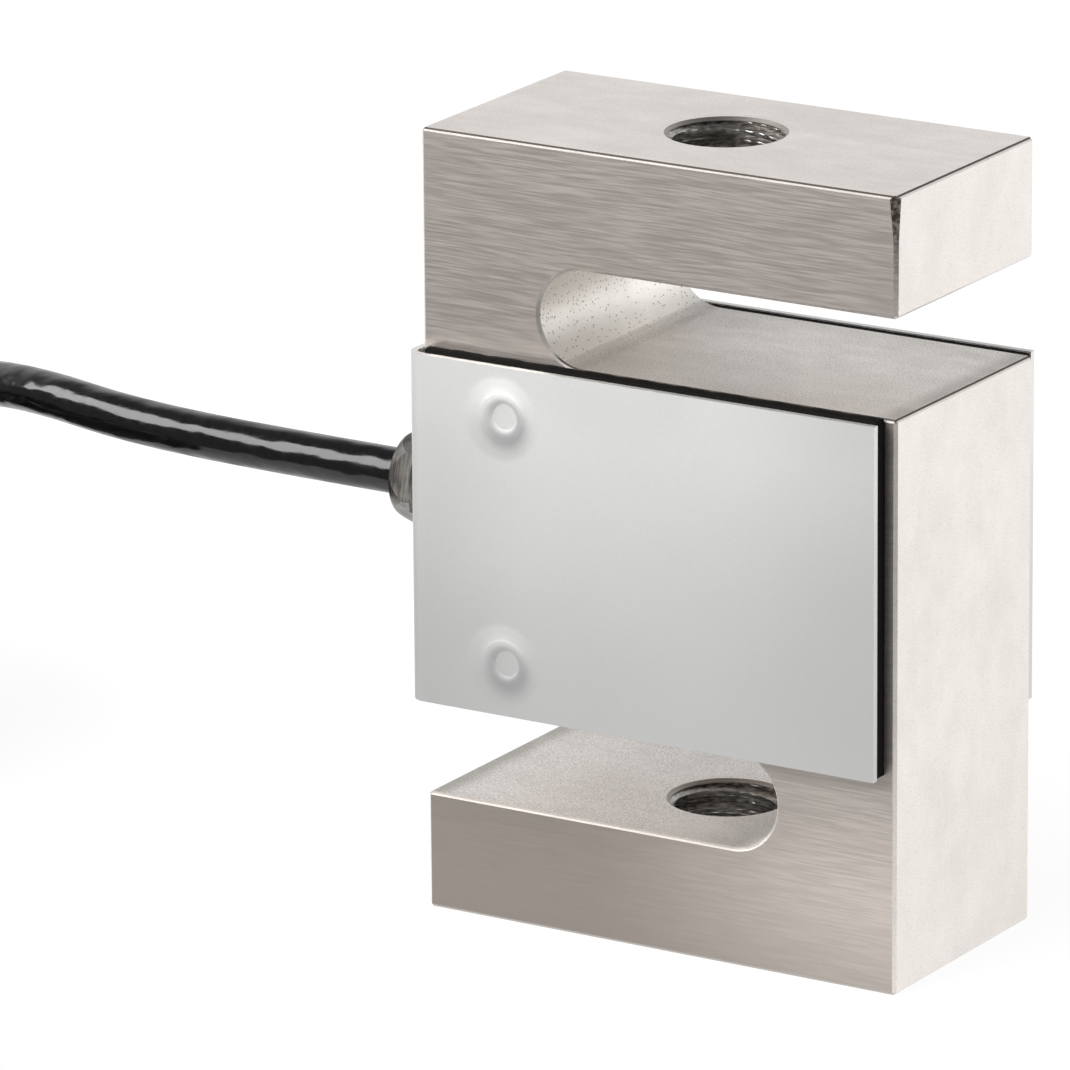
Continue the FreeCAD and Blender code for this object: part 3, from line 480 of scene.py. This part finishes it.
def blasted_colour(tree, grain, clouds, zones):
    """Fine outside; coarse in the slots, with painted shade and painted light; clouds of one or two
    centimetres.
    """
    soft_grain = add(tree, "MapRange", grain, 0.3, 0.7, 0, 1)
    hard_grain = add(tree, "MapRange", grain, 0.35, 0.65, 0, 1)
    fine = add(tree, "Mix", soft_grain, "#dfd9d4", "#f4efeb", data_type="RGBA")
    coarse = add(tree, "Mix", hard_grain, "#c6beb9", "#fffdfa", data_type="RGBA")
    colour = add(tree, "Mix", zones["slot"], fine, coarse, data_type="RGBA")
    # painted light: the slots' round ends are paler
    painted_light_on_round_ends = add(tree, "Math", zones["round_end"], 0.85, operation="MULTIPLY")
    colour = add(tree, "Mix", painted_light_on_round_ends, colour, "#fffcf6", data_type="RGBA")
    # painted shade in the slots
    colour = add(tree, "Mix", zones["shaded"], colour, "#8f8983", data_type="RGBA")
    bright_clouds = add(tree, "MapRange", clouds, 0.5, 0.7, 0, 0.25)
    dull_clouds = add(tree, "MapRange", clouds, 0.3, 0.5, 0.12, 0)
    colour = add(tree, "Mix", bright_clouds, colour, "#fbf6f3", data_type="RGBA")
    return add(tree, "Mix", dull_clouds, colour, "#b9b0ab", data_type="RGBA")


print("painted shade grey, linear:", [round(part, 2) for part in linear(PAINTED_SHADE_GREY)[:3]])


# %% Ground and nickel-plated steel
def plated_steel():
    material, tree, place = new_finish("nickel_plated_ground_steel")
    zones = steel_zones(tree, place)
    spot = add(tree, "SeparateXYZ", place).node.outputs
    x, z = spot["X"], spot["Z"]
    lines = grinding_lines(tree, place)
    grain = add(tree, "TexNoise", place, Scale=noise_scale(GRAIN_WIDTH), Detail=3.0, Roughness=0.7)
    stretched = add(tree, "VectorMath", place, noise_scale(*CLOUDS), operation="MULTIPLY")
    clouds = add(tree, "TexNoise", stretched, Scale=1.0, Detail=3.0, Roughness=0.6)
    stretched = add(tree, "VectorMath", place, noise_scale(*NOTCHES), operation="MULTIPLY")
    notches = add(tree, "TexNoise", stretched, Scale=1.0, Detail=2.0, Roughness=0.6)
    blasted = blasted_colour(tree, grain, clouds, zones)
    colour = add(tree, "Mix", zones["ground"], blasted, ground_colour(tree, lines, x, z), data_type="RGBA")
    # painted shade on the edges' slopes, strongest low on the block
    painted_edge_shade_by_height = add(tree, "MapRange", z, 12, 50, 0.6, 0.2)
    edges = add(tree, "Math", zones["edges"], painted_edge_shade_by_height, operation="MULTIPLY")
    colour = add(tree, "Mix", edges, colour, PAINTED_SHADE_GREY, data_type="RGBA")
    mouth = add(tree, "Math", zones["mouth"], 0.85, operation="MULTIPLY")
    colour = add(tree, "Mix", mouth, colour, "#8a847f", data_type="RGBA")
    # painted shade: a dark line along the upper edges, fainter low on the block
    high_up = add(tree, "MapRange", z, 12, 50, 0.5, 1)
    rim = add(tree, "Math", zones["rim"], high_up, operation="MULTIPLY")
    colour = add(tree, "Mix", rim, colour, "#5f5852", data_type="RGBA")
    colour = add(tree, "Mix", blasted_pits(tree, place, zones), colour, "#4a443d", data_type="RGBA")
    ragged = add(tree, "MapRange", notches, 0.4, 0.62, 0, 1)
    filed = add(tree, "Mix", ragged, "#5a524d", "#b3aaa2", data_type="RGBA")
    file_depth = add(tree, "MapRange", z, 66, 74, 0.05, 1)
    corner = add(tree, "Math", zones["corner"], file_depth, operation="MULTIPLY")
    colour = add(tree, "Mix", corner, colour, filed, data_type="RGBA")
    line_relief = add(tree, "MapRange", zones["ground"], 0, 1, 0.1, 1.0)
    grain_relief = add(tree, "MapRange", zones["slot"], 0, 1, 0.2, 1.0)
    relief = add(tree, "Bump", line_relief, 0.004 * MM, Height=lines)
    relief = add(tree, "Bump", grain_relief, 0.024 * MM, Height=grain, Normal=relief)
    relief = add(tree, "Bump", zones["corner"], 0.06 * MM, Height=notches, Normal=relief)
    roughness = add(tree, "MapRange", lines, 0.3, 0.7, 0.42, 0.50)
    roughness = add(tree, "Math", zones["slot"], 0.06, roughness, operation="MULTIPLY_ADD")
    finish_with(tree, Base_Color=colour, Metallic=1.0, Roughness=roughness, Normal=relief)
    return material


steel = plated_steel()
wear(NODES["s_body"], steel)
print(steel.name, "takes", len(steel.node_tree.nodes), "nodes")

# %% [markdown]
# The tapped holes are plain bores in the CAD model. The real ones hold M12 threads with a pitch of 1.75 mm:
# ridges with 60 degree flanks that wind up the wall and fade out in the mouths. Each thread is made as a
# sleeve whose outside lies just inside the steel and whose inside follows the ridge. The tap leaves torn
# steel, and the threads' colour is darker than the block's as painted shade inside the holes. In the
# photograph a mouth is 11.6 mm wide, a little less than in the CAD model, so a flush rim narrows each one.


# %% Cut steel
TEARS = (1.667, 1.667, 0.25)  # millimetres long along x, y and z


def cut_steel():
    material, tree, place = new_finish("tapped_steel_painted_darker")
    stretched = add(tree, "VectorMath", place, noise_scale(*TEARS), operation="MULTIPLY")
    tears = add(tree, "TexNoise", stretched, Scale=1.0, Detail=3.0, Roughness=0.65)
    torn = add(tree, "MapRange", tears, 0.38, 0.62, 0, 1)
    # painted shade: the torn steel is darker than the block's, for the shade inside the holes
    colour = add(tree, "Mix", torn, "#7b7774", "#cfccc8", data_type="RGBA")
    roughness = add(tree, "MapRange", tears, 0.3, 0.7, 0.28, 0.4)
    relief = add(tree, "Bump", 0.6, 0.012 * MM, Height=tears)
    finish_with(tree, Base_Color=colour, Metallic=1.0, Roughness=roughness, Normal=relief)
    return material


thread_steel = cut_steel()
print("thread finish:", thread_steel.name)

# %% The threads
PITCH_OF_THREAD, ROOT, CREST, MOUTH = 1.75, 5.985, 5.06, 5.8  # millimetres; the last three are radii
SLEEVE_RADIUS = 6.03
RIM_DEPTH, RIM_RADIUS, SET_BACK = 0.32, 6.33, 0.005
ROUND = 96  # points round a hole


def new_piece(name, points_mm, faces, sharp_degrees, material):
    """A mesh that the CAD model doesn't have, from points in millimetres. It rides on the part."""
    mesh = bpy.data.meshes.new(name)
    mesh.from_pydata([tuple(part * MM for part in point) for point in points_mm], [], faces)
    mesh.validate()
    mesh.shade_smooth()
    mesh.set_sharp_from_angle(angle=math.radians(sharp_degrees))
    piece = bpy.data.objects.new(name, mesh)
    scene.collection.objects.link(piece)
    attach(piece, "root")
    print(name, "has", len(mesh.polygons), "faces")
    return wear(piece, material)


def on_circle(radius, index, height):
    angle = 2 * math.pi * index / ROUND
    return (radius * math.cos(angle), radius * math.sin(angle), height)


def thread_radius(index, height, depth):
    """Inner radius in millimetres; depth is the distance from the nearer mouth."""
    phase = (height / PITCH_OF_THREAD - index / ROUND) % 1
    from_crest = abs(phase - 0.5) * PITCH_OF_THREAD
    flank = CREST + max(0, from_crest - PITCH_OF_THREAD / 8) * math.tan(math.radians(60))
    return min(max(flank, MOUTH - depth), ROOT)


def thread_sleeve(name, low, high):
    """A tube between the two rims of a hole, with the ridge on its inside."""
    rows = 150
    start, end = low + RIM_DEPTH, high - RIM_DEPTH
    points, faces = [], []
    for row in range(rows + 1):
        height = start + (end - start) * row / rows
        depth = min(height - low, high - height)
        points += [on_circle(thread_radius(i, height, depth), i, height) for i in range(ROUND)]
    outer = len(points)
    for height in (start, end):
        points += [on_circle(SLEEVE_RADIUS, i, height) for i in range(ROUND)]
    top = rows * ROUND
    for here in range(ROUND):
        beside = (here + 1) % ROUND
        for row in range(0, top, ROUND):
            faces.append((row + here, row + ROUND + here, row + ROUND + beside, row + beside))
        faces.append((outer + here, here, beside, outer + beside))
        faces.append((top + here, outer + ROUND + here, outer + ROUND + beside, top + beside))
        faces.append((outer + ROUND + here, outer + here, outer + beside, outer + ROUND + beside))
    return new_piece(name, points, faces, 32, thread_steel)


def mouth_rims(name, low, high):
    """The narrow chamfered rims at both ends of a hole, flush with the faces round them."""
    section = [(MOUTH, SET_BACK), (RIM_RADIUS, SET_BACK)]
    section += [(SLEEVE_RADIUS, RIM_DEPTH), (MOUTH - RIM_DEPTH, RIM_DEPTH)]
    points, faces = [], []
    for face, inward in ((low, 1), (high, -1)):
        base = len(points)
        for i in range(ROUND):
            points += [on_circle(radius, i, face + inward * depth) for radius, depth in section]
        for i in range(ROUND):
            here, there = base + 4 * i, base + 4 * ((i + 1) % ROUND)
            for side in range(4):
                beside = (side + 1) % 4
                quad = (here + side, here + beside, there + beside, there + side)
                faces.append(quad if inward > 0 else quad[::-1])
    return new_piece(name, points, faces, 32, steel)


HOLES = {"lower": (0, 11.5), "upper": (64.7, 76.2)}
for level, (low, high) in HOLES.items():
    mouth_rims(f"{level}_hole_rims", low, high)
for level, (low, high) in HOLES.items():
    thread_sleeve(f"{level}_thread_ridges", low, high)

# %% [markdown]
# The cover is thin stainless sheet, blasted with fine beads and left matte, so it spreads the light evenly
# and looks like pale grey satin. Its sheared edges stay bright, which a tiny bevel gives them. Four spot
# welds hold it. A dimple pressed in for a weld leaves the sheet round it a little proud, which a bump in the
# finish draws. The finish also has painted shade: the sheet greyer towards the bottom and the ends, and a
# grey ring round each weld's disc, wider below and to the right.

# %% Blasted stainless sheet
DISC, FUNNEL, SWELL = 1.24, 3.5, 4.2  # millimetres from a weld's middle: its flat disc and what is round it
BEAD_WIDTH, CLOUD_WIDTH = 0.4, 40  # millimetres; real glass beads are finer, but would not show


def middle_of(node):
    corners = [node.matrix_world @ Vector(corner) for corner in node.bound_box]
    return sum(corners, Vector()) / len(corners) / MM


def dimple_relief(tree, distance, relief):
    """Softens the funnel's inner slope and lets the sheet round it swell."""
    lip = add(tree, "Math", add(tree, "MapRange", distance, DISC, FUNNEL, 1, 0), 3.3, operation="POWER")
    swell = add(tree, "Math", add(tree, "MapRange", distance, DISC, SWELL, 1, 0), 1.8, operation="POWER")
    height = add(tree, "Math", lip, 0.36, operation="MULTIPLY")
    height = add(tree, "Math", swell, 0.46, height, operation="MULTIPLY_ADD")
    return add(tree, "Bump", 1.0, 1.0 * MM, Height=height, Normal=relief)


def blasted_sheet():
    material, tree, place = new_finish("bead_blasted_stainless_sheet")
    spot = add(tree, "SeparateXYZ", place).node.outputs
    x, z = spot["X"], spot["Z"]
    grain = add(tree, "TexNoise", place, Scale=noise_scale(BEAD_WIDTH), Detail=2.0, Roughness=0.6)
    clouds = add(tree, "TexNoise", place, Scale=noise_scale(CLOUD_WIDTH), Detail=2.0)
    speckle = add(tree, "MapRange", grain, 0.3, 0.7, 0, 1)
    colour = add(tree, "Mix", speckle, "#f3f3f2", "#f7f7f5", data_type="RGBA")
    # painted shade: the sheet is greyer towards the bottom and both ends, the right end most higher up;
    # clouds vary the tone at random
    right = add(tree, "MapRange", x, 2, 25, 0, 0.22, interpolation_type="SMOOTHSTEP")
    parts = [
        add(tree, "MapRange", z, 20, 50, 0.5, 0),
        add(tree, "MapRange", clouds, 0.3, 0.7, -0.03, 0.03),
        add(tree, "Math", right, add(tree, "MapRange", z, 22, 42, 0.2, 1), operation="MULTIPLY"),
        add(tree, "MapRange", x, -26, -8, 0.12, 0, interpolation_type="SMOOTHSTEP"),
    ]
    shade = parts[0]
    for part in parts[1:]:
        shade = add(tree, "Math", shade, part, operation="ADD")
    colour = add(tree, "Mix", shade, colour, "#a3a4a3", data_type="RGBA")
    relief = add(tree, "Bump", 0.5, 0.004 * MM, Height=grain)
    for level in ("upper", "lower"):
        weld = middle_of(NODES[f"front_{level}_spacer"])
        offset = add(tree, "VectorMath", place, (1, 0, 1), (-weld.x, 0, -weld.z), operation="MULTIPLY_ADD")
        distance = add(tree, "VectorMath", offset, operation="LENGTH")
        relief = dimple_relief(tree, distance, relief)
        # painted shade: a grey ring round each weld's disc, wider below and to the right
        aside = add(tree, "VectorMath", offset, (-0.5, 0, 0.7), operation="ADD")
        spread = add(tree, "VectorMath", aside, operation="LENGTH")
        ring = add(tree, "MapRange", distance, 1.1, 1.7, 0, 0.4, interpolation_type="SMOOTHSTEP")
        ring = add(tree, "MapRange", spread, 1.2, 3.1, ring, 0, interpolation_type="SMOOTHSTEP")
        colour = add(tree, "Mix", ring, colour, "#8d8c90", data_type="RGBA")
    roughness = add(tree, "MapRange", clouds, 0.3, 0.7, 0.56, 0.62)
    finish_with(tree, Base_Color=colour, Metallic=1.0, Roughness=roughness, Normal=relief)
    return material


cover = wear(NODES["cover"], blasted_sheet())
rounded = cover.modifiers.new("soft_edges", "BEVEL")
rounded.width = 0.07 * MM
rounded.segments = 2
rounded.limit_method = "ANGLE"
rounded.angle_limit = math.radians(50)
rounded.harden_normals = False
print("cover's upper front weld at, mm:", [round(part, 2) for part in middle_of(NODES["front_upper_spacer"])])

# %% [markdown]
# Rubber, potting and the sleeve on the cable's end are dull. Each has a small grain of its own. The coil's
# ties are moulded nylon, which has a slight sheen. Along the top of the front panel a thin strip in the black
# rubber finish shows as a black line above the sheet's edge.


# %% Rubber and other dull finishes
def dull_finish(name, dark, light, grain_mm, rough, depth_mm, **more):
    material, tree, place = new_finish(name)
    grain = add(tree, "TexNoise", place, Scale=noise_scale(grain_mm), Detail=3.0, Roughness=0.6)
    colour = add(tree, "Mix", add(tree, "MapRange", grain, 0.3, 0.7, 0, 1), dark, light, data_type="RGBA")
    roughness = add(tree, "MapRange", grain, 0.3, 0.7, rough - 0.06, rough + 0.06)
    relief = add(tree, "Bump", 0.6, depth_mm * MM, Height=grain)
    finish_with(tree, Base_Color=colour, Roughness=roughness, Normal=relief, **more)
    return material


nitrile = {"grain_mm": 1.33, "rough": 0.8, "depth_mm": 0.03, "Specular_IOR_Level": 0.12}
rubber = dull_finish("cast_black_nitrile_rubber", "#0a0808", "#120f0e", **nitrile)
for name in ("front_seal_pad", "rear_seal_pad", "gland_seal", "gland_washer"):
    wear(NODES[name], rubber)
potting = dull_finish("cast_white_silicone", "#dedcd2", "#e9e7df", 6.67, 0.45, 0.05, IOR=1.41)
for name in ("front_potting", "rear_potting"):
    wear(NODES[name], potting)
sleeve_finish = dull_finish("shrunk_black_polyolefin", "#141414", "#1b1b1b", 2.5, 0.42, 0.04, IOR=1.5)
wear(NODES["end_sleeve"], sleeve_finish)
nylon = dull_finish("moulded_black_nylon", "#161617", "#1d1d1e", 1.0, 0.38, 0.01, IOR=1.53)
for name in ("first_coil_tie", "second_coil_tie"):
    wear(NODES[name], nylon)
print("dull finishes:", ", ".join(finish.name for finish in (rubber, potting, sleeve_finish, nylon)))

# %% The black strip above the cover
BEAD_LEFT, BEAD_RIGHT = -24.3, 24.1
BEAD_FRONT, BEAD_BACK = -14.2, -12.72
BEAD_FOOT, BEAD_TOP = 54.85, 55.5


def black_strip_above_cover(name):
    """A rounded black strip along x whose top wanders a little in height."""
    steps, arc = 120, 6
    middle, half = (BEAD_FRONT + BEAD_BACK) / 2, (BEAD_BACK - BEAD_FRONT) / 2
    points = []
    for step in range(steps + 1):
        x = BEAD_LEFT + (BEAD_RIGHT - BEAD_LEFT) * step / steps
        top = BEAD_TOP - 0.06 - 0.035 * math.sin(1.3 * x) - 0.02 * math.sin(3.1 * x + 1)
        for side in range(arc + 1):
            turn = math.pi * side / arc
            rise = 0.55 + 0.45 * math.sin(turn)
            points.append((x, middle - half * math.cos(turn), BEAD_FOOT + (top - BEAD_FOOT) * rise))
        points += [(x, BEAD_BACK, BEAD_FOOT), (x, BEAD_FRONT, BEAD_FOOT)]
    around = arc + 3
    faces = [tuple(range(around))[::-1], tuple(range(steps * around, (steps + 1) * around))]
    for step in range(steps):
        for side in range(around):
            a, b = step * around + side, step * around + (side + 1) % around
            faces.append((a, b, b + around, a + around))
    return new_piece(name, points, faces, 40, rubber)


black_strip_above_cover("front_black_strip")

# %% [markdown]
# The gland is turned brass with a nickel plate, so it is smoother than the block and shows fine lines from
# the lathe round its axis. The spacers under the cover are bare turned steel.


# %% Nickel-plated brass and bare steel
TURNED_RINGS = (0.3333, 6.67, 6.67)  # millimetres long along x, y and z; a real feed is finer
STAIN_WIDTH = 4


def plated_brass():
    material, tree, place = new_finish("nickel_plated_turned_brass")
    stretched = add(tree, "VectorMath", place, noise_scale(*TURNED_RINGS), operation="MULTIPLY")
    rings = add(tree, "TexNoise", stretched, Scale=1.0, Detail=3.0, Roughness=0.6)
    stains = add(tree, "TexNoise", place, Scale=noise_scale(STAIN_WIDTH), Detail=2.0)
    stained = add(tree, "MapRange", stains, 0.35, 0.65, 0, 1)
    colour = add(tree, "Mix", stained, "#6c6967", "#a19d98", data_type="RGBA")
    roughness = add(tree, "MapRange", rings, 0.3, 0.7, 0.2, 0.34)
    relief = add(tree, "Bump", 0.7, 0.008 * MM, Height=rings)
    finish_with(tree, Base_Color=colour, Metallic=1.0, Roughness=roughness, Normal=relief)
    return material


gland_metal = plated_brass()
for name in ("gland_body", "gland_screw"):
    wear(NODES[name], gland_metal)
turned_steel = dull_finish("turned_bare_steel", "#8f8c88", "#a3a09b", 0.5, 0.35, 0.004, Metallic=1.0)
for name in ("front_upper_spacer", "front_lower_spacer", "rear_upper_spacer", "rear_lower_spacer"):
    wear(NODES[name], turned_steel)
print("metals:", steel.name, thread_steel.name, gland_metal.name, turned_steel.name)

# %% [markdown]
# The cable's jacket is black PVC, extruded over twisted cores. It is glossy, and the cores show through as
# faint waves that bend the highlights.


# %% Extruded PVC
CORE_WAVES = (9.09, 5.71, 5.71)  # millimetres long along x, y and z, about the lay of the twisted cores
DUST_WIDTH = 1.429


def extruded_pvc(name, dark, light, rough, wave_mm):
    material, tree, place = new_finish(name)
    stretched = add(tree, "VectorMath", place, noise_scale(*CORE_WAVES), operation="MULTIPLY")
    waves = add(tree, "TexNoise", stretched, Scale=1.0, Detail=1.5)
    dust = add(tree, "TexNoise", place, Scale=noise_scale(DUST_WIDTH), Detail=3.0, Roughness=0.7)
    colour = add(tree, "Mix", add(tree, "MapRange", dust, 0.45, 0.75, 0, 1), dark, light, data_type="RGBA")
    roughness = add(tree, "MapRange", dust, 0.35, 0.75, rough - 0.04, rough + 0.08)
    relief = add(tree, "Bump", 1.0, wave_mm * MM, Height=waves)
    finish_with(tree, Base_Color=colour, Roughness=roughness, IOR=1.53, Normal=relief)
    return material


jacket = extruded_pvc("extruded_glossy_black_pvc", "#080808", "#0e0e0e", 0.16, 0.34)
wear(cable, jacket)
print("cable's jacket:", jacket.name)

# %% [markdown]
# Each core is a coloured PVC tube over tinned copper strands. Both are one solid in the CAD model, so the
# finish changes by the angle round the coil: past the end of the tube the bare strands shine.

# %% The cores
TUBE_END = 183.0  # degrees round the coil's centre, from the right
STRAND_END = TUBE_END - 180  # the same place as an angle from the left
STRAND_SPACING = 0.408  # millimetres; a band of the wave texture is pi / 10 wide
CORE_GRAIN = 2.5
CORE_COLOURS = {
    "red": ("#b3171b", "#c41f22"),
    "black": ("#141414", "#1e1e1e"),
    "green": ("#14783a", "#1a8a45"),
    "white": ("#e2e1dc", "#efeeea"),
    "shield": ("#8b8d8f", "#9a9c9e"),
}


def bare_share(tree, place):
    """1 where the tube has ended and the strands are bare."""
    spot = add(tree, "SeparateXYZ", place).node.outputs
    along = add(tree, "Math", COIL_CENTRE.y / MM, spot["Y"], operation="SUBTRACT")
    across = add(tree, "Math", COIL_CENTRE.x / MM, spot["X"], operation="SUBTRACT")
    angle = add(tree, "Math", along, across, operation="ARCTAN2")
    return add(tree, "MapRange", angle, math.radians(STRAND_END - 0.2), math.radians(STRAND_END + 0.2), 0, 1)


def core_finish(name, dark, light, has_bare_end):
    material, tree, place = new_finish(name)
    grain = add(tree, "TexNoise", place, Scale=noise_scale(CORE_GRAIN), Detail=2.0)
    colour = add(tree, "Mix", add(tree, "MapRange", grain, 0.3, 0.7, 0, 1), dark, light, data_type="RGBA")
    metallic = 0.0
    if has_bare_end:
        metallic = bare_share(tree, place)
        bands = math.pi / 10 / STRAND_SPACING
        stretched = add(tree, "VectorMath", place, (bands, 0.28, bands), operation="MULTIPLY")
        strands = add(tree, "TexWave", stretched, Scale=1.0, Distortion=1.0, output="Fac")
        tin = add(tree, "Mix", strands, "#a9a7a3", "#dad8d3", data_type="RGBA")
        colour = add(tree, "Mix", metallic, colour, tin, data_type="RGBA")
    roughness = add(tree, "MapRange", grain, 0.3, 0.7, 0.3, 0.4)
    relief = add(tree, "Bump", 1.0, 0.02 * MM, Height=grain)
    finish_with(tree, Base_Color=colour, Metallic=metallic, Roughness=roughness, IOR=1.5, Normal=relief)
    return material


for colour, (dark, light) in CORE_COLOURS.items():
    free_end = core_finish(f"{colour}_core_and_strands", dark, light, True)
    inner_end = core_finish(f"{colour}_core_inside", dark, light, False)
    wear(NODES[f"{colour}_core_free_end"], free_end)
    wear(NODES[f"{colour}_core_inner_end"], inner_end)
print(len(CORE_COLOURS), "cores, each with two ends")

# %% [markdown]
# Inside the block are the strain gauges, their wires and a small board. Nobody sees them unless the potting
# comes off, but they get their own finishes too: amber film, enamelled copper and green glass-fibre
# laminate.

# %% The parts in the cavity
film = dull_finish("etched_foil_on_polyimide_film", "#b26a1e", "#c98432", 0.667, 0.35, 0.005, IOR=1.7)
enamel = dull_finish("enamelled_copper_wire", "#8a3f16", "#a9541f", 0.5, 0.25, 0.003, IOR=1.6)
laminate = dull_finish("etched_glass_fibre_laminate", "#0f4d2a", "#17613a", 0.8, 0.35, 0.01, IOR=1.55)
for level in ("upper", "lower"):
    for hand in ("left", "right"):
        wear(NODES[f"{level}_{hand}_gauge"], film)
        wear(NODES[f"{level}_{hand}_gauge_wire"], enamel)
wear(NODES["terminal_board"], laminate)
print("inside:", film.name, enamel.name, laminate.name)

# %% The size
low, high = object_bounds()
print("shown box, mm:", [round(x / MM, 1) for x in low], [round(x / MM, 1) for x in high])
